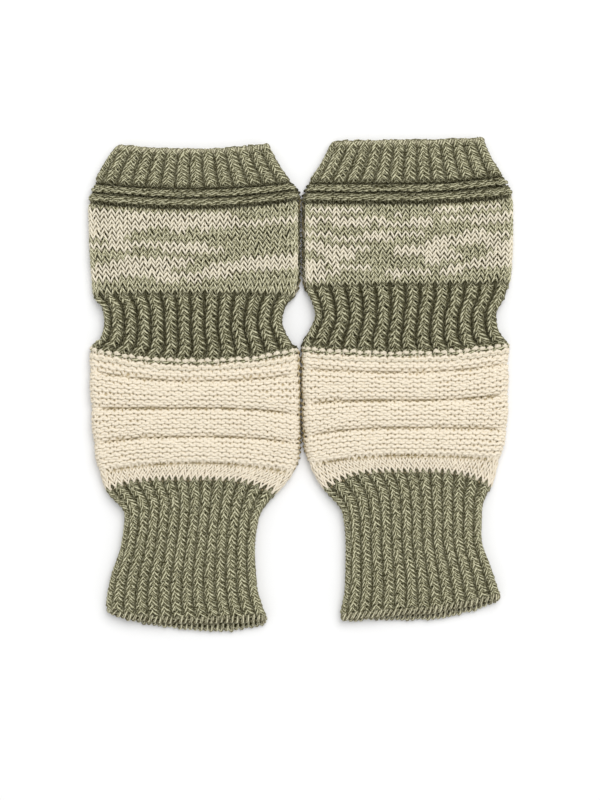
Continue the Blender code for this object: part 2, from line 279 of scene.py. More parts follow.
def linear(hex_colour: str) -> tuple:
    """Turn an sRGB hex colour to linear light.

    Args:
        hex_colour: A hash mark and six hex digits.

    Returns:
        Red, green and blue in linear light, and an alpha of 1.
    """
    channels = [int(hex_colour[i : i + 2], 16) / 255 for i in (1, 3, 5)]
    return tuple(c / 12.92 if c <= 0.04045 else ((c + 0.055) / 1.055) ** 2.4 for c in channels) + (1.0,)


def add_node(tree: Tree, kind: str, links: dict | None = None, **settings: object) -> bpy.types.Node:
    """Add one node with its settings and links.

    Args:
        tree: The node tree that gets it.
        kind: The node's type name.
        links: Input names or numbers, each with an output socket to link or a value to set.
        settings: Properties of the node itself.

    Returns:
        The new node.
    """
    node = tree.nodes.new(kind)
    for name, value in settings.items():
        setattr(node, name, value)
    for name, value in (links or {}).items():
        if isinstance(value, Socket):
            tree.links.new(value, node.inputs[name])
        else:
            node.inputs[name].default_value = value
    return node


def compute(tree: Tree, operation: str, *values: float | Socket) -> Socket:
    """Add a calculation on numbers or sockets, and return its result."""
    return add_node(tree, "ShaderNodeMath", dict(enumerate(values)), operation=operation).outputs[0]


def blend(tree: Tree, share: float | Socket, *colours: tuple | Socket, way: str = "MIX") -> Socket:
    """Add a blend of two colours, each a value or a socket, and return its result."""
    links = {0: share, 6: colours[0], 7: colours[1]}
    return add_node(tree, "ShaderNodeMix", links, data_type="RGBA", blend_type=way).outputs[2]


def stored(tree: Tree, name: str) -> Socket:
    """Add the reading of a value that the mesh stores at its points, and return it."""
    settings = {"attribute_name": name, "attribute_type": "GEOMETRY"}
    return add_node(tree, "ShaderNodeAttribute", **settings).outputs["Fac"]


def cloudy_noise(tree: Tree, size_mm: float, detail: float = 4.0) -> Socket:
    """Add cloudy noise whose largest spots have a size in millimetres, and return it."""
    links = {"Vector": add_node(tree, "ShaderNodeTexCoord").outputs["Object"], "Scale": 1 / (size_mm * MM)}
    return add_node(tree, "ShaderNodeTexNoise", {**links, "Detail": detail}).outputs["Fac"]


def matt_material(name: str, roughness: float, gloss: float) -> Material:
    """Make a material with a matt surface.

    Args:
        name: The material's name.
        roughness: How rough the surface is, from 0 to 1.
        gloss: Its weight of mirror reflection, from 0 to 1.

    Returns:
        The new material, with its node tree.
    """
    material = bpy.data.materials.new(name)
    material.use_nodes = True
    shader = material.node_tree.nodes["Principled BSDF"]
    shader.inputs["Roughness"].default_value = roughness
    shader.inputs["Specular IOR Level"].default_value = gloss
    return material


def cover(material: Material, colour: Socket, height: Socket, strength: float, depth_mm: float) -> None:
    """Give a material its colour and its fine relief.

    Args:
        material: The material.
        colour: The socket of its colour.
        height: The socket of its relief.
        strength: How strongly the relief shows.
        depth_mm: How deep the relief is.
    """
    tree = material.node_tree
    shader = tree.nodes["Principled BSDF"]
    links = {"Height": height, "Strength": strength, "Distance": depth_mm * MM}
    tree.links.new(colour, shader.inputs["Base Color"])
    tree.links.new(add_node(tree, "ShaderNodeBump", links).outputs[0], shader.inputs["Normal"])


def each(kinds: type[Enum], *values: float) -> dict:
    """Make a field that holds one value for each member of an Enum, in the Enum's order."""
    return field(default_factory=lambda: dict(zip(kinds, values)))


def smooth_step(value: Array, low: float, high: float) -> Array:
    """Rise smoothly from 0 at low to 1 at high."""
    t = np.clip((value - low) / (high - low), 0.0, 1.0)
    return t * t * (3 - 2 * t)


def monotone_slopes(places: Array, values: Array) -> Array:
    """Slopes of a smooth curve through values that never overshoots them.

    Args:
        places: Where the values are, in rising order.
        values: One row for each place.

    Returns:
        A slope for each value.
    """
    spans = np.diff(places)[:, None]
    rates = np.diff(values, axis=0) / spans
    slopes = np.zeros_like(values)
    before = 2 * spans[1:] + spans[:-1]
    after = spans[1:] + 2 * spans[:-1]
    same_way = rates[:-1] * rates[1:] > 0
    upper = np.where(same_way, rates[:-1], 1.0)
    lower = np.where(same_way, rates[1:], 1.0)
    slopes[1:-1] = np.where(same_way, (before + after) / (before / upper + after / lower), 0.0)
    for end, other in ((0, 1), (-1, -2)):
        near, far = rates[end], rates[other]
        slope = ((2 * spans[end] + spans[other]) * near - spans[end] * far) / (spans[end] + spans[other])
        slope = np.where(slope * near <= 0, 0.0, slope)
        slopes[end] = np.where((near * far <= 0) & (np.abs(slope) > 3 * np.abs(near)), 3 * near, slope)
    return slopes


@dataclass
class Tube:
    """The flattened tube of one glove, on which every stitch is placed; sizes in millimetres."""

    side: str
    sections: dict
    middle_x: float
    top_y: float
    inner_side: int
    inner_spread: float = 2.6
    meeting_x: float = 0.15
    meeting_gap: float = -0.4
    meeting_reach: tuple = (2.3, 4.5)
    inward_turn: tuple = (0.0, 0.75)
    downward_turn: tuple = (-0.15, 0.35)
    garter_relief: float = 1.0
    garter_roundness: float = 0.35
    garter_floor: float = 0.5
    welt_relief: float = 1.5
    welt_roundness: float = 0.45
    welt_floor: float = 0.4
    full_welt: float = 13.0
    furrow_fade: tuple = (0.05, 0.32)
    opening_reach: float = 2.5
    rib_relief: float = 0.9
    rib_spread: float = 0.3
    waist_pull: float = 1.7
    rib_onset: float = 3.6
    upper_from: float = 0.3
    upper_span: float = 0.4
    places: Array = field(init=False)
    columns: Array = field(init=False)
    slopes: Array = field(init=False)

    def __post_init__(self) -> None:
        """Lay the named sections out as the columns of a smooth table."""
        table = np.array([tuple(row) for row in self.sections.values()])
        self.places = table[:, 0]
        self.columns = table[:, 1:]
        self.slopes = monotone_slopes(self.places, self.columns)

    def at(self, name: str) -> float:
        """How far down the glove a named section lies."""
        return self.sections[name].down

    def section(self, down: Array) -> Section:
        """Work out the sections at many places down the glove.

        Args:
            down: Distances from the top rim.

        Returns:
            A section whose columns are arrays like down.
        """
        inside = np.clip(down, self.places[0], self.places[-1])
        low = np.clip(np.searchsorted(self.places, inside, side="right") - 1, 0, len(self.places) - 2)
        span = (self.places[low + 1] - self.places[low])[..., None]
        t = (inside - self.places[low])[..., None] / span
        values = (2 * t**3 - 3 * t**2 + 1) * self.columns[low]
        values = values + (3 * t**2 - 2 * t**3) * self.columns[low + 1]
        leaving = (t**3 - 2 * t**2 + t) * self.slopes[low]
        arriving = (t**3 - t**2) * self.slopes[low + 1]
        values = values + span * (leaving + arriving)
        return Section(down, *np.moveaxis(values, -1, 0))

    def relief(self, stitch: Array, down: Array) -> Array:
        """How far the upper layer stands out along the glove: its ridges, welts and furrows, ribs apart.

        Args:
            stitch: Places round the tube in stitches, from the left fold over the top.
            down: Distances from the top rim.

        Returns:
            Heights above the plain tube.
        """
        first, last = self.at("first_furrow"), self.at("last_furrow")
        ridge = np.abs(np.sin(2 * math.pi * (down - first) / (last - first))) ** self.garter_roundness
        ridge = self.garter_relief * (ridge - self.garter_floor)
        out = np.where((down > first) & (down < last), ridge, 0.0)
        marks = [self.at("waist_end")] + [self.at(f"cream_furrow_{i}") for i in range(1, 5)]
        for low, high in zip(marks, marks[1:]):
            share = np.clip((down - low) / (high - low), 0, 1)
            welt = np.sin(math.pi * share) ** self.welt_roundness - self.welt_floor
            welt = welt * min(1.0, (high - low) / self.full_welt)
            out = np.where((down >= low) & (down < high), self.welt_relief * welt, out)
        fade = self.inward(stitch)
        for furrow in FURROWS:
            away = (down - self.at(furrow.mark) - furrow.below) / furrow.reach
            out = out - furrow.dip * np.exp(-(away**2)) * (fade if furrow.fades else 1.0)
        return out

    def inward(self, stitch: Array) -> Array:
        """How far places of the upper layer lie from the side folds, from 0 at a fold to 1."""
        bow = np.sin(math.pi * np.mod(stitch, STITCHES_ROUND) / SIDE_STITCHES)
        return smooth_step(bow, *self.furrow_fade)

    def pressed(self, facing: Array, row: Section) -> Array:
        """How much places of the tube lie low on the side that touches the other glove.

        Args:
            facing: Which way the cloth faces.
            row: The sections at the same places.

        Returns:
            1 low down where the gloves touch, 0 elsewhere.
        """
        edge = self.middle_x + (row.right if self.inner_side > 0 else row.left)
        near = 1 - smooth_step(self.inner_side * (self.meeting_x - edge), *self.meeting_reach)
        inner = smooth_step(facing[..., 0] * self.inner_side, *self.inward_turn)
        return near * inner * smooth_step(-facing[..., 2], *self.downward_turn)

    def opened(self, stitch: Array, down: Array) -> Array:
        """How far the furrows push the rounds beside them up or down the glove.

        Args:
            stitch: Places round the tube in stitches, from the left fold over the top.
            down: Distances from the top rim.

        Returns:
            Shifts away from the nearest furrow, which fade out within a few millimetres.
        """
        fade = self.inward(stitch)
        shift = np.zeros_like(down)
        for furrow in FURROWS:
            away = (down - self.at(furrow.mark) - furrow.below) / furrow.reach
            push = furrow.opening * np.tanh(away**3) * np.exp(-((away / self.opening_reach) ** 2))
            shift = shift + push * (fade if furrow.fades else 1.0)
        return shift

    def rib_strength(self, down: Array) -> Array:
        """How strongly single rib draws together.

        Args:
            down: Distances from the top rim.

        Returns:
            0 outside the ribs, 1 in plain rib and more in the waist.
        """
        out = 1 - smooth_step(down, self.at("first_furrow") - self.rib_onset, self.at("first_furrow"))
        for start, end in (("waist_top", "waist_end"), ("wrist_top", "wrist_rim")):
            low, high = self.at(start), self.at(end)
            fall = 1 - smooth_step(down, high - self.rib_onset, high)
            rise = smooth_step(down, low, low + self.rib_onset) * fall
            out = out + rise * (self.waist_pull if start == "waist_top" else 1.0)
        return out

    def locate(self, stitch: Array, down: Array, lift: Array) -> tuple:
        """Place points of the knitting on the table.

        Args:
            stitch: Places round the tube in stitches, from the left fold over the top.
            down: Distances from the top rim.
            lift: Distances out of the plain tube's outside.

        Returns:
            The points in metres, the directions in which the cloth faces there, and how much each place
            belongs to the upper layer, from 0 to 1.
        """
        row = self.section(down)
        around = np.mod(stitch / STITCHES_ROUND, 1.0)
        under = around > 0.5
        around = np.where(under, 1 - around, around)
        width = row.right - row.left
        radius = row.height / 2
        flat = width - row.height
        quarter = math.pi * radius / 2
        distance = around * 2 * (flat + 2 * quarter)
        on_left = distance < quarter
        on_right = distance > quarter + flat
        left_angle = distance / radius
        right_angle = (distance - quarter - flat) / radius
        face_x = np.where(on_left, -np.cos(left_angle), np.where(on_right, np.sin(right_angle), 0.0))
        face_z = np.where(on_left, np.sin(left_angle), np.where(on_right, np.cos(right_angle), 1.0))
        x = np.where(on_left, radius * (1 + face_x), radius + distance - quarter)
        x = np.where(on_right, width - radius * (1 - face_x), x)
        face_z = np.where(under, -face_z, face_z)
        z = radius * (1 + face_z)
        share = np.clip(x / width, 0, 1)
        rise_left = row.rise_left * np.abs(1 - 2 * share) ** row.bend
        rise_right = row.rise_right * np.abs(2 * share - 1) ** row.bend
        slip = (row.slip_left * (1 - share) + row.slip_right * share) * np.sin(math.pi * share) ** 0.5
        y = np.where(share < 0.5, rise_left, rise_right) - down - slip * (1 - z / row.height)
        facing = np.stack([face_x, np.zeros_like(face_x), face_z], axis=-1)
        x = self.middle_x + row.left + x
        room = self.inner_side * (self.meeting_x - x) - self.meeting_gap
        spread = np.clip(np.minimum(room, self.inner_spread), 0.0, None) * self.pressed(facing, row)
        x = x + face_x * lift + self.inner_side * spread
        upper = np.clip((z / row.height - self.upper_from) / self.upper_span, 0.0, 1.0)
        return np.stack([x, self.top_y + y, z + face_z * lift], axis=-1) * MM, facing, upper


@dataclass
class Skein:
    """Rounds of swept yarn, gathered until they become one mesh."""

    sides: int = 5
    points: list = field(default_factory=list)
    corners: list = field(default_factory=list)
    places: list = field(default_factory=list)
    tones: list = field(default_factory=list)
    # painted shade of each point, from 0 to 1
    painted_shades: list = field(default_factory=list)
    count: int = 0

    def sweep(
        self, path: Array, facing: Array, radius: Array, tone: Array, depth: Array, start: float
    ) -> None:
        """Sweep one closed round of yarn.

        Args:
            path: Points of the yarn's middle line, in metres, in a ring.
            facing: Which way the cloth faces at each point.
            radius: The yarn's radius at each point, in metres.
            tone: How pale the yarn is at each point, from 0 to 1.
            depth: How much painted shade darkens the yarn at each point, from 0 to 1.
            start: Where along the yarn the round begins, in millimetres.
        """
        along = np.roll(path, -1, axis=0) - np.roll(path, 1, axis=0)
        along /= np.linalg.norm(along, axis=1, keepdims=True)
        across = np.cross(facing, along)
        across /= np.maximum(np.linalg.norm(across, axis=1, keepdims=True), 1e-9)
        out = np.cross(along, across)
        angles = (np.arange(self.sides) * 2 * math.pi / self.sides)[None, :, None]
        ring = np.cos(angles) * across[:, None, :] + np.sin(angles) * out[:, None, :]
        self.points.append((path[:, None, :] + ring * radius[:, None, None]).reshape(-1, 3))
        steps = np.linalg.norm(np.roll(path, -1, axis=0) - path, axis=1) / MM
        reached = start + np.concatenate([[0.0], np.cumsum(steps)])
        n = len(path)
        k = np.arange(self.sides)
        here = np.arange(n)[:, None] * self.sides
        after = (np.arange(1, n + 1) % n)[:, None] * self.sides
        following = (k + 1) % self.sides
        quads = np.stack([here + k, here + following, after + following, after + k], axis=-1)
        self.corners.append(quads.reshape(-1, QUAD_CORNERS) + self.count)
        low = np.broadcast_to(k / self.sides, (n, self.sides))
        high = low + 1 / self.sides
        first = np.broadcast_to(reached[:-1, None], (n, self.sides))
        last = np.broadcast_to(reached[1:, None], (n, self.sides))
        uv = np.stack([first, low, first, high, last, high, last, low], axis=-1)
        self.places.append(uv.reshape(-1, 2))
        self.tones.append(np.repeat(tone, self.sides))
        self.painted_shades.append(np.repeat(depth, self.sides))
        self.count += n * self.sides

    def wind_off(self, name: str, material: Material) -> bpy.types.Object:
        """Make the gathered yarn one mesh object.

        Args:
            name: The piece's name.
            material: Its finish.

        Returns:
            The new piece, with its place in its mesh.
        """
        points = np.concatenate(self.points).astype(np.float32)
        points[:, 2] = np.maximum(points[:, 2], 0.0)  # the yarn rests on the table
        corners = np.concatenate(self.corners).astype(np.int32)
        mesh = bpy.data.meshes.new(name)
        mesh.vertices.add(len(points))
        mesh.vertices.foreach_set("co", points.ravel())
        mesh.loops.add(corners.size)
        mesh.loops.foreach_set("vertex_index", corners.ravel())
        mesh.polygons.add(len(corners))
        mesh.polygons.foreach_set("loop_start", np.arange(0, corners.size, QUAD_CORNERS, dtype=np.int32))
        mesh.polygons.foreach_set("use_smooth", np.ones(len(corners), dtype=bool))
        mesh.update(calc_edges=True)
        layer = mesh.uv_layers.new(name="yarn")
        layer.data.foreach_set("uv", np.concatenate(self.places).astype(np.float32).ravel())
        # the depth values are painted shade, which the finishes read
        for attribute, values in (("tone", self.tones), ("depth", self.painted_shades)):
            row = mesh.attributes.new(attribute, "FLOAT", "POINT")
            row.data.foreach_set("value", np.concatenate(values).astype(np.float32))
        mesh.materials.append(material)
        piece = bpy.data.objects.new(name, mesh)
        bpy.context.scene.collection.objects.link(piece)
        return piece


@dataclass(frozen=True)
class SpunYarn:
    """Spun wool-blend yarn of matt, softly heathered plies, each a rounded cord with a shaded groove by it.

    A light ply is twisted with a dark one, which gives the eye slanting flecks. The pale colours are those
    of a length that was left undyed. The shade in the groove by each ply is painted into the colour, and so
    is the shade of yarn that lies deep in the cloth, which the deep colours give.
    """

    name: str
    dark: str = "#2a2610"
    middle: str = "#656246"
    light: str = "#cdcaab"
    # The deep colour and the pale deep colour are painted shade for yarn that lies deep in the cloth
    deep_shade: str = "#24210b"
    pale: str = "#f7eddc"
    pale_shade: str = "#e2d6be"
    pale_deep_shade: str = "#94804f"
    plies: float = 7.0
    twist_mm: float = 18.0
    marl_share: float = 0.42
    heather_mm: float = 0.9
    dark_below: float = 0.34
    middle_at: float = 0.615
    light_above: float = 0.9
    groove_mm: float = 0.22
    # Painted shade in the groove by each ply: how far across the ply it reaches and how dark it gets
    groove_edge: float = 0.7
    groove_shade_level: float = 0.62
    relief: float = 0.8
    fleck_relief: float = 0.5
    roughness: float = 0.9
    gloss: float = 0.06
    sheen: float = 0.2
    sheen_roughness: float = 0.6
    haze: str = "#d9cf9e"

    def make(self) -> Material:
        """Build the finish's nodes.

        Returns:
            The new material.
        """
        material = matt_material(self.name, self.roughness, self.gloss)
        tree = material.node_tree
        uv = add_node(tree, "ShaderNodeUVMap", uv_map="yarn")
        place = add_node(tree, "ShaderNodeSeparateXYZ", {0: uv.outputs[0]})
        turns = compute(tree, "MULTIPLY", place.outputs[0], 1 / self.twist_mm)
        phase = compute(tree, "ADD", place.outputs[1], turns)
        swing = compute(tree, "SINE", compute(tree, "MULTIPLY", phase, self.plies * math.pi))
        marl = compute(tree, "MULTIPLY_ADD", swing, 0.5, 0.5)
        fold = compute(tree, "PINGPONG", compute(tree, "MULTIPLY", phase, self.plies), 0.5)
        ply = compute(tree, "POWER", compute(tree, "MULTIPLY", fold, 2.0), 0.5)
        fleck = cloudy_noise(tree, self.heather_mm)
        mixed = compute(tree, "MULTIPLY_ADD", marl, self.marl_share, fleck)
        green = add_node(tree, "ShaderNodeValToRGB", {0: mixed})
        stops = green.color_ramp.elements
        stops[0].position, stops[0].color = self.dark_below, linear(self.dark)
        stops[1].position, stops[1].color = self.light_above, linear(self.light)
        stops.new(self.middle_at).color = linear(self.middle)
        cream = blend(tree, fleck, linear(self.pale_shade), linear(self.pale))
        tone = stored(tree, "tone")
        dyed = blend(tree, tone, green.outputs[0], cream)
        # painted shade in each ply's groove, multiplied into the colour
        groove = {0: ply, 1: 0.0, 2: self.groove_edge, 3: self.groove_shade_level, 4: 1.0}
        shade = add_node(tree, "ShaderNodeMapRange", groove).outputs[0]
        groove_shaded = blend(tree, 1.0, dyed, shade, way="MULTIPLY")
        # painted shade: yarn deep in the cloth darkens towards the deep colours
        hidden = blend(tree, tone, linear(self.deep_shade), linear(self.pale_deep_shade))
        colour = blend(tree, stored(tree, "depth"), groove_shaded, hidden)
        height = compute(tree, "MULTIPLY_ADD", fleck, self.fleck_relief, ply)
        cover(material, colour, height, self.relief, self.groove_mm)
        shader = tree.nodes["Principled BSDF"]
        shader.inputs["Sheen Weight"].default_value = self.sheen
        shader.inputs["Sheen Tint"].default_value = linear(self.haze)
        shader.inputs["Sheen Roughness"].default_value = self.sheen_roughness
        return material


@dataclass(frozen=True)
class LoopBacks:
    """The backs of the loops behind the stitches: the same yarn, seen only through the gaps, its colours
    darkened by painted shade.
    """

    name: str
    deep_shade: str
    light_shade: str
    crease_shade: str
    loop_mm: float = 2.4
    relief: float = 0.6
    relief_mm: float = 0.4
    roughness: float = 0.95
    gloss: float = 0.03

    def make(self) -> Material:
        """Build the finish's nodes.

        Returns:
            The new material.
        """
        material = matt_material(self.name, self.roughness, self.gloss)
        tree = material.node_tree
        loops = cloudy_noise(tree, self.loop_mm)
        # painted shade: two dark tones of the yarn, and a darker one along the creases
        uneven = blend(tree, loops, linear(self.deep_shade), linear(self.light_shade))
        colour = blend(tree, stored(tree, "depth"), uneven, linear(self.crease_shade))
        cover(material, colour, loops, self.relief, self.relief_mm)
        return material


@dataclass
class Glove:
    """One glove: its bands of knitting, the ground behind them, and its cast-on and cast-off edges."""

    tube: Tube
    pale: dict
    seed: int
    finishes: dict
    yarn_radius: dict = each(Stitch, 0.5, 0.74, 0.8)
    loop_reach: dict = each(Stitch, 1.05, 0.74, 1.0)
    loop_lean: dict = each(Stitch, 0.33, 0.31, 0.38)
    loop_depth: dict = each(Yarn, 0.52, 0.56, 0.42)
    garter_depth: float = 1.5
    # Painted shade over the garter band, and its most there
    garter_shade: float = 0.52
    garter_shade_most: float = 0.6
    purl_set_back: float = 1.4
    purl_set_back_under: float = 0.5
    dot_narrowing: float = 0.18
    dot_ends: float = 0.7
    dot_growth: float = 0.85
    dot_tone: float = 0.78
    dot_rise: float = 0.4
    knit_tuck: int = 2
    purl_tuck: int = 5
    side_fullness: float = 0.35
    # Painted shade low on the side that touches the other glove, and in the drawn-in waist
    pressed_shade: float = 1.6
    pull_shade: float = 0.55
    # Painted shade for yarn that lies deep in the cloth: the level it is measured from, the depth that
    # brings it to its most, where it starts and its most
    shade_crest: dict = each(Stitch, 0.0, 0.0, 0.5)
    shade_depth: dict = each(Stitch, 0.95, 1.9, 1.8)
    shade_onset: dict = each(Yarn, 0.1, 0.05, 0.59)
    shade_most: dict = each(Yarn, 0.85, 0.95, 0.85)
    upper_points: int = 12
    under_points: int = 6
    wobble: float = 0.2
    widest_wobble: float = 2.0
    across_wobble: float = 0.25
    reach_wobble: float = 0.5
    thickness_wobble: float = 0.35
    full_pitch: float = 2.4
    rib_border: float = 2.6
    tone_border: tuple = (0.25, 0.75)
    longest_lead: float = 50.0
    cast_on_width: float = 1.3
    cast_off_width: float = 3.4
    edge_radius: float = 0.72
    edge_thickness: float = 0.8
    edge_strands: int = 2
    edge_points: int = 12
    edge_tone: float = 0.12
    # Painted shade on the edge strands where they turn under the rim
    edge_shade: float = 0.8
    edge_shade_turn: tuple = (-0.6, 0.5)
    edge_wobble: float = 0.11
    ground_depth: float = 2.1
    ground_thickness: float = 0.4
    ground_step: float = 1.3
    # Relief depths over which painted shade on the loop backs rises in the creases
    crease_shade_depths: tuple = (0.7, 1.8)
    cut_places: int = 24

    def __post_init__(self) -> None:
        """Start this glove's own source of small unevennesses."""
        self.random = np.random.default_rng(self.seed)

    def rounds(self) -> list:
        """List every round of the glove from the top rim down; rib starts with a plain round of a new yarn.

        Returns:
            The rounds.
        """
        out = []
        for band in BANDS:
            for stretch in band.stretches:
                low, high = self.tube.at(stretch.start), self.tube.at(stretch.end)
                if stretch.start == "top_rim":
                    low += self.cast_on_width
                if stretch.end == "wrist_rim":
                    high -= self.cast_off_width
                pitch = (high - low) / stretch.rounds
                for i in range(stretch.rounds):
                    plain = out and stretch.stitch is Stitch.RIB and out[-1].yarn is not stretch.yarn
                    stitch = Stitch.KNIT if plain else stretch.stitch
                    out.append(Round(band, stitch, stretch.yarn, low + (i + 0.5) * pitch, pitch))
        return out

    def front(self, stitch: Stitch, place: Array) -> Array:
        """Say which stitches of a round are knitted and which purled.

        Args:
            stitch: The round's pattern.
            place: Places round the tube in stitches.

        Returns:
            1 where they are knitted and -1 where they are purled, blending at their borders.
        """
        if stitch is Stitch.KNIT:
            return np.ones_like(place)
        if stitch is Stitch.PURL:
            return -np.ones_like(place)
        return np.clip(self.rib_border * np.sin(math.pi * place), -1.0, 1.0)

    def yarn_tone(self, yarn: Yarn, number: int, place: Array) -> Array:
        """How pale a round's yarn is along its way.

        Args:
            yarn: The round's yarn.
            number: The round's number from the top of its band.
            place: Places round the tube in stitches.

        Returns:
            0 where the yarn is olive, 1 where it is cream.
        """
        if yarn is Yarn.OLIVE:
            return np.zeros_like(place)
        if yarn is Yarn.CREAM:
            return np.ones_like(place)
        tones = np.zeros(STITCHES_ROUND)
        for first, last in self.pale.get(number, ()):
            tones[first : last + 1] = 1.0
        for first, last in self.pale.get((number * UNDER_STEP + UNDER_SHIFT) % UNDER_ROUNDS, ()):
            tones[STITCHES_ROUND - 1 - last : STITCHES_ROUND - first] = 1.0
        around = np.concatenate([[tones[-1]], tones, [tones[0]]])
        blended = np.interp(np.mod(place, STITCHES_ROUND), np.arange(-0.5, STITCHES_ROUND + 1), around)
        return smooth_step(blended, *self.tone_border)

    def knit_round(self, skein: Skein, number: int, this: Round, following: Stitch) -> None:
        """Sweep one round of stitches.

        Args:
            skein: Where the yarn goes.
            number: The round's number from the top of its band.
            this: The round.
            following: The stitch pattern of the next round, which draws this round's heads through.
        """
        band, stitch, yarn, down, pitch = this
        garter = band.name == "garter_band"
        upper = np.arange(SIDE_STITCHES * self.upper_points) / self.upper_points
        under = SIDE_STITCHES + np.arange(SIDE_STITCHES * self.under_points) / self.under_points
        if stitch is Stitch.RIB:
            step = np.arange(len(upper))
            hidden = (step // self.upper_points % 2 == 1) & (step % 2 == 1)
            upper = upper[~hidden]
        turn = np.concatenate([upper, under])
        t = 2 * math.pi * turn
        unevenness = self.random.normal(0.0, self.wobble, (4, STITCHES_ROUND + 1))
        widest = self.widest_wobble * self.wobble
        unevenness = np.clip(unevenness, -widest, widest)
        unevenness[:, -1] = unevenness[:, 0]
        knots = np.arange(STITCHES_ROUND + 1)
        along, across, size, thick = (np.interp(turn, knots, row) for row in unevenness)
        first_cream = yarn is Yarn.CREAM and number == 0
        rising = np.maximum(np.cos(t), 0)
        lean = self.loop_lean[stitch] - (self.dot_narrowing * rising if first_cream else 0.0)
        place = turn + lean * np.sin(2 * t) + self.across_wobble * across
        reach = np.where(np.cos(t) > 0, self.loop_reach[stitch], self.loop_reach[following])
        level = down - reach * pitch * (1 + self.reach_wobble * size) * np.cos(t) + along
        strength = self.tube.rib_strength(level)
        pair = np.floor(place / 2) * 2
        in_pair = place - pair
        share = 0.5 + self.tube.rib_spread * np.minimum(strength, 1.0)
        knit_place = 0.5 + (in_pair - 0.5) * 2 * share
        purl_place = 1.5 + (in_pair - 1.5) * 2 * (1 - share)
        spread = np.where(in_pair < 1, knit_place, purl_place)
        foot = self.front(stitch, place)
        head = self.front(following, place)
        up = rising ** np.where(foot > 0, self.knit_tuck, self.purl_tuck)
        low = np.maximum(-np.cos(t), 0) ** np.where(head > 0, self.knit_tuck, self.purl_tuck)
        sunk = self.loop_depth[yarn] * (self.garter_depth if garter else 1.0)
        depth = sunk * ((foot + head) / 2 * np.sin(t) ** 2 - foot * up - head * low)
        knitted = (self.front(Stitch.RIB, place) + 1) / 2
        _, facing, on_top = self.tube.locate(pair + spread, level, np.zeros_like(level))
        level = level + self.tube.opened(pair + spread, level) * on_top
        set_back = self.purl_set_back * on_top + self.purl_set_back_under * (1 - on_top)
        ribs = self.tube.rib_relief / 2 * on_top - set_back * (1 - knitted)
        outside = on_top * self.tube.relief(pair + spread, level) + strength * ribs
        radius = self.yarn_radius[stitch] * (1 + self.thickness_wobble * thick)
        radius = radius * max(1.0, pitch / self.full_pitch)
        if first_cream:
            radius = radius * (self.dot_ends + self.dot_growth * rising**2)
            outside = outside + self.dot_rise * rising * on_top
        pressed = self.tube.pressed(facing, self.tube.section(level))
        outside = outside + self.side_fullness * np.abs(facing[:, 0]) * (1 - pressed)
        lift = outside - radius - sunk + depth
        path, facing, _ = self.tube.locate(pair + spread, level, lift)
        tone = self.yarn_tone(yarn, number, turn) * (self.dot_tone if first_cream else 1.0)
        # Painted shade: yarn that lies deep in the cloth, low where the gloves touch, in the drawn-in waist
        # and over the garter band darkens towards its deep colour
        shade_amount = (self.shade_crest[stitch] * on_top - lift - radius) / self.shade_depth[stitch]
        shade_amount = shade_amount + self.pressed_shade * pressed
        shade_amount = shade_amount + self.pull_shade * np.maximum(strength - 1, 0)
        most = self.shade_most[yarn]
        if garter:
            shade_amount = shade_amount + self.garter_shade
            most = self.garter_shade_most
        shaded = most * smooth_step(shade_amount, self.shade_onset[yarn], 1.0)
        lead = self.random.uniform(0.0, self.longest_lead)
        skein.sweep(path, facing, radius * MM, tone, shaded, lead)

    def edge_rope(self, skein: Skein, down: float, edge: Edge) -> None:
        """Sweep the strands of a cast-on or cast-off edge, which slant along the rim.

        Args:
            skein: Where the yarn goes.
            down: Where the edge's middle lies.
            edge: The edge's sizes.
        """
        n = edge.turns * self.edge_points
        turn = np.arange(n) * STITCHES_ROUND / n
        for strand in range(self.edge_strands):
            angle = 2 * math.pi * (np.arange(n) / self.edge_points + strand / self.edge_strands)
            uneven, swell = self.random.normal(0.0, self.edge_wobble, (2, STITCHES_ROUND + 1))
            uneven[-1], swell[-1] = uneven[0], swell[0]
            knots = np.arange(STITCHES_ROUND + 1)
            uneven, swell = np.interp(turn, knots, uneven), np.interp(turn, knots, swell)
            level = down + edge.tall * (1 + swell) * np.cos(angle) + uneven
            lift = self.edge_thickness * np.sin(angle) - edge.drop
            path, facing, on_top = self.tube.locate(turn, level, lift)
            radius = self.edge_radius * (1 + swell)
            tone = np.full(n, self.edge_tone)
            # painted shade where the strands turn under
            shade_amount = self.edge_shade * on_top * smooth_step(-np.sin(angle), *self.edge_shade_turn)
            lead = self.random.uniform(0.0, self.longest_lead)
            skein.sweep(path, facing, radius * MM, tone, shade_amount, lead)

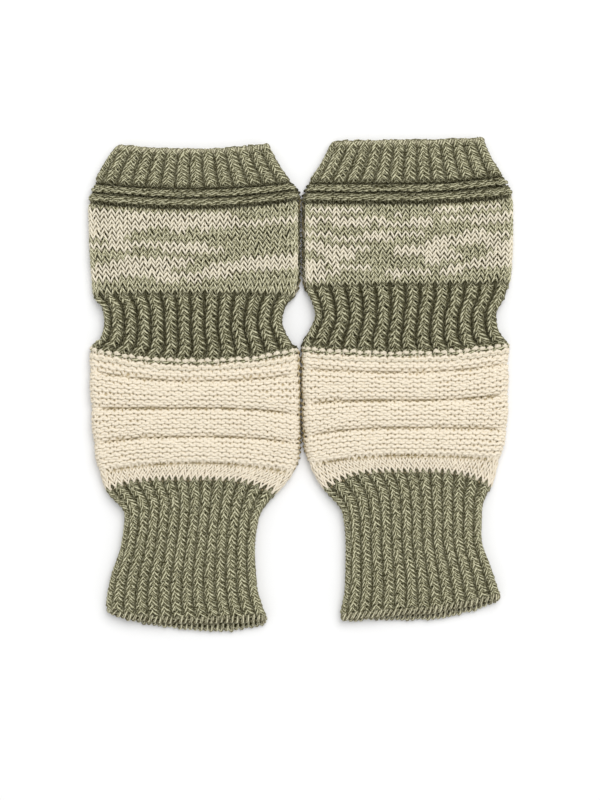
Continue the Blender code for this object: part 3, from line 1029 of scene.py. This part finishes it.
    def ground(self, bands: tuple) -> bpy.types.Object:
        """Shape the thin shell of the loop backs behind some bands, on the form of their solids.

        Args:
            bands: The bands, from the top down.

        Returns:
            The shell, closed round the tube and open at its ends.
        """
        start, end = self.tube.at(bands[0].stretches[0].start), self.tube.at(bands[-1].stretches[-1].end)
        if start == self.tube.at("top_rim"):
            start += self.cast_on_width
        if end == self.tube.at("wrist_rim"):
            end -= self.cast_off_width / 2
        rings = max(3, round((end - start) / self.ground_step))
        bpy.ops.object.select_all(action="DESELECT")
        bpy.ops.mesh.primitive_cylinder_add(
            vertices=STITCHES_ROUND, radius=0.05, depth=1.0, end_fill_type="NOTHING"
        )
        shell = bpy.context.object
        shell.name = f"{self.tube.side}_{bands[0].name}_loop_backs"
        bpy.ops.object.mode_set(mode="EDIT")
        bpy.ops.mesh.select_all(action="SELECT")
        bpy.ops.mesh.bisect(plane_co=(0, 0, 0), plane_no=(0, 0, 1))
        for i in range(1, rings):
            bpy.ops.mesh.select_all(action="SELECT")
            bpy.ops.mesh.bisect(plane_co=(0, 0, i / rings - 0.5), plane_no=(0, 0, 1))
        bpy.ops.object.mode_set(mode="OBJECT")
        mesh = shell.data
        points = np.empty(len(mesh.vertices) * 3)
        mesh.vertices.foreach_get("co", points)
        points = points.reshape(-1, 3)
        angle = np.arctan2(points[:, 1], -points[:, 0])
        stitch = np.mod(angle / (2 * math.pi) * STITCHES_ROUND, STITCHES_ROUND)
        level = start + (0.5 - points[:, 2]) * (end - start)
        _, _, on_top = self.tube.locate(stitch, level, np.zeros_like(level))
        lift = on_top * self.tube.relief(stitch, level) - self.ground_depth
        placed, _, _ = self.tube.locate(stitch, level, lift)
        mesh.vertices.foreach_set("co", placed.ravel())
        # painted shade on the loop backs where the creases sink them
        crease_shade = smooth_step(-on_top * self.tube.relief(stitch, level), *self.crease_shade_depths)
        painted_shades = mesh.attributes.new("depth", "FLOAT", "POINT")
        painted_shades.data.foreach_set("value", crease_shade.astype(np.float32))
        mesh.update()
        wall = shell.modifiers.new("thickness", "SOLIDIFY")
        wall.thickness = self.ground_thickness * MM
        wall.offset = -1.0
        bpy.ops.object.modifier_apply(modifier=wall.name)
        bpy.ops.object.shade_smooth()
        mesh.materials.clear()
        mesh.materials.append(self.finishes[f"{bands[0].slot}_backs"])
        return shell

    def cut(self, bands: tuple) -> tuple:
        """Work out the flat size of some bands' tube, opened out.

        Args:
            bands: The bands, from the top down.

        Returns:
            Once round, averaged down the bands, and the length, in metres.
        """
        start, end = self.tube.at(bands[0].stretches[0].start), self.tube.at(bands[-1].stretches[-1].end)
        row = self.tube.section(np.linspace(start, end, self.cut_places))
        round_it = 2 * (row.right - row.left - row.height) + math.pi * row.height
        return float(round_it.mean()) * MM, (end - start) * MM

    def knit_band(self, band: Band, rounds: list) -> bpy.types.Object:
        """Knit one band with the edge that it ends in, and hang it on the frame.

        Args:
            band: The band.
            rounds: Every round of the glove.

        Returns:
            The band's stitches.
        """
        skein = Skein()
        numbers = [i for i, this in enumerate(rounds) if this.band is band]
        for i in numbers:
            following = rounds[min(i + 1, len(rounds) - 1)].stitch
            self.knit_round(skein, i - numbers[0], rounds[i], following)
        if band.name == "top_rib":
            self.edge_rope(skein, CAST_ON.inside, CAST_ON)
        if band.name == "wrist_rib":
            self.edge_rope(skein, self.tube.at("wrist_rim") - CAST_OFF.inside, CAST_OFF)
        name = f"{self.tube.side}_{band.name}"
        yarn = skein.wind_off(f"{name}_stitches", self.finishes[band.slot])
        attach(yarn, "root")
        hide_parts(name)
        return yarn

    def knit(self) -> list:
        """Knit every band from the top rim down, over the shells of loop backs that they share.

        Returns:
            The pieces, on the frame.
        """
        rounds = self.rounds()
        pieces = []
        for bands in (BANDS[:2], BANDS[2:3], BANDS[3:4], BANDS[4:5], BANDS[5:]):
            yarns = [self.knit_band(band, rounds) for band in bands]
            shell = self.ground(bands)
            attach(shell, "root")
            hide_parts(*[f"{self.tube.side}_{band.name}" for band in bands])
            self.cut(bands)
            pieces += [*yarns, shell]
        return pieces


@dataclass
class Studio:
    """A white table, soft light from all round, and a long lens straight above.

    The view's sizes are in millimetres, those of the table and the soft light in metres.
    """

    view_centre: tuple = (-0.33, -7.1)
    view_height: float = 380.8
    lens: float = 90.0
    sensor: float = 36.0
    cloth_middle: float = 3.4
    table_side: float = 6.0
    room_light: float = 0.82
    softbox_place: tuple = (0.5, 0.95, 1.6)
    softbox_side: float = 1.6
    softbox_watts: float = 27.0

    def build(self) -> None:
        """Set the table, light, world and camera."""
        scene = bpy.context.scene
        bpy.ops.object.select_all(action="DESELECT")
        bpy.ops.mesh.primitive_plane_add(size=self.table_side)
        table = bpy.context.object
        table.name = "white_table"
        table.data.materials.append(self.painted_board())
        scene.world = bpy.data.worlds.new("bright_room")
        scene.world.use_nodes = True
        room = scene.world.node_tree.nodes["Background"]
        room.inputs[0].default_value = linear("#ffffff")
        room.inputs[1].default_value = self.room_light
        self.softbox()
        scene.view_settings.view_transform = "Standard"
        camera = bpy.data.objects.new("camera_above", bpy.data.cameras.new("camera_above"))
        scene.collection.objects.link(camera)
        camera.data.lens = self.lens
        camera.data.sensor_width = self.sensor
        x, y = self.view_centre
        distance = self.view_height * self.lens / self.sensor
        camera.location = (x * MM, y * MM, (distance + self.cloth_middle) * MM)
        scene.camera = camera

    def painted_board(self) -> Material:
        """Paint white matt board, which shows as plain white with faint soft shadows.

        Returns:
            The new material.
        """
        material = matt_material("white_matt_board", roughness=0.8, gloss=0.1)
        material.node_tree.nodes["Principled BSDF"].inputs["Base Color"].default_value = linear("#e9e9e9")
        return material

    def softbox(self) -> None:
        """Hang one square soft light above and to the right, facing the middle of the table."""
        light = bpy.data.lights.new("softbox_above_right", "AREA")
        light.size = self.softbox_side
        light.energy = self.softbox_watts
        lamp = bpy.data.objects.new("softbox_above_right", light)
        bpy.context.scene.collection.objects.link(lamp)
        lamp.location = self.softbox_place
        x, y, z = self.softbox_place
        lamp.rotation_euler = (math.atan2(math.hypot(x, y), z), 0.0, math.atan2(x, -y))


def finishes() -> dict:
    """Make every finish once.

    Returns:
        Materials by slot, and those of the loop backs by slot and the word backs.
    """
    return {
        "olive_marl": SpunYarn("olive_marl_yarn").make(),
        "variegated_yarn": SpunYarn(
            "variegated_yarn",
            dark="#4a462c",
            middle="#a09c78",
            light="#f0ecce",
            pale="#fdf5e2",
            pale_shade="#e8dfc6",
            pale_deep_shade="#5c5233",
        ).make(),
        "cream_yarn": SpunYarn("cream_wool_yarn", twist_mm=7.0, groove_mm=0.14).make(),
        # The loop backs' colours are the yarns' own, darkened with painted shade
        "olive_marl_backs": LoopBacks("olive_loop_backs", "#1b190a", "#454226", "#17150a").make(),
        "variegated_yarn_backs": LoopBacks("variegated_loop_backs", "#2c2a18", "#545034", "#2c2a18").make(),
        "cream_yarn_backs": LoopBacks("cream_loop_backs", "#bba985", "#dccfb0", "#94814f").make(),
    }


def main() -> None:
    """Build the pair and the studio."""
    Studio().build()
    materials = finishes()
    left = Tube("left", LEFT_GLOVE, middle_x=-50.9, top_y=112.1, inner_side=1)
    right = Tube("right", RIGHT_GLOVE, middle_x=51.6, top_y=116.3, inner_side=-1)
    for tube, pale, seed in ((left, PALE_LEFT, 11), (right, PALE_RIGHT, 23)):
        for piece in Glove(tube, pale, seed, materials).knit():
            LOG.info("%s: %d faces", piece.name, len(piece.data.polygons))


if __name__ == "__main__":
    logging.basicConfig(level=logging.INFO, format="%(message)s")
    main()
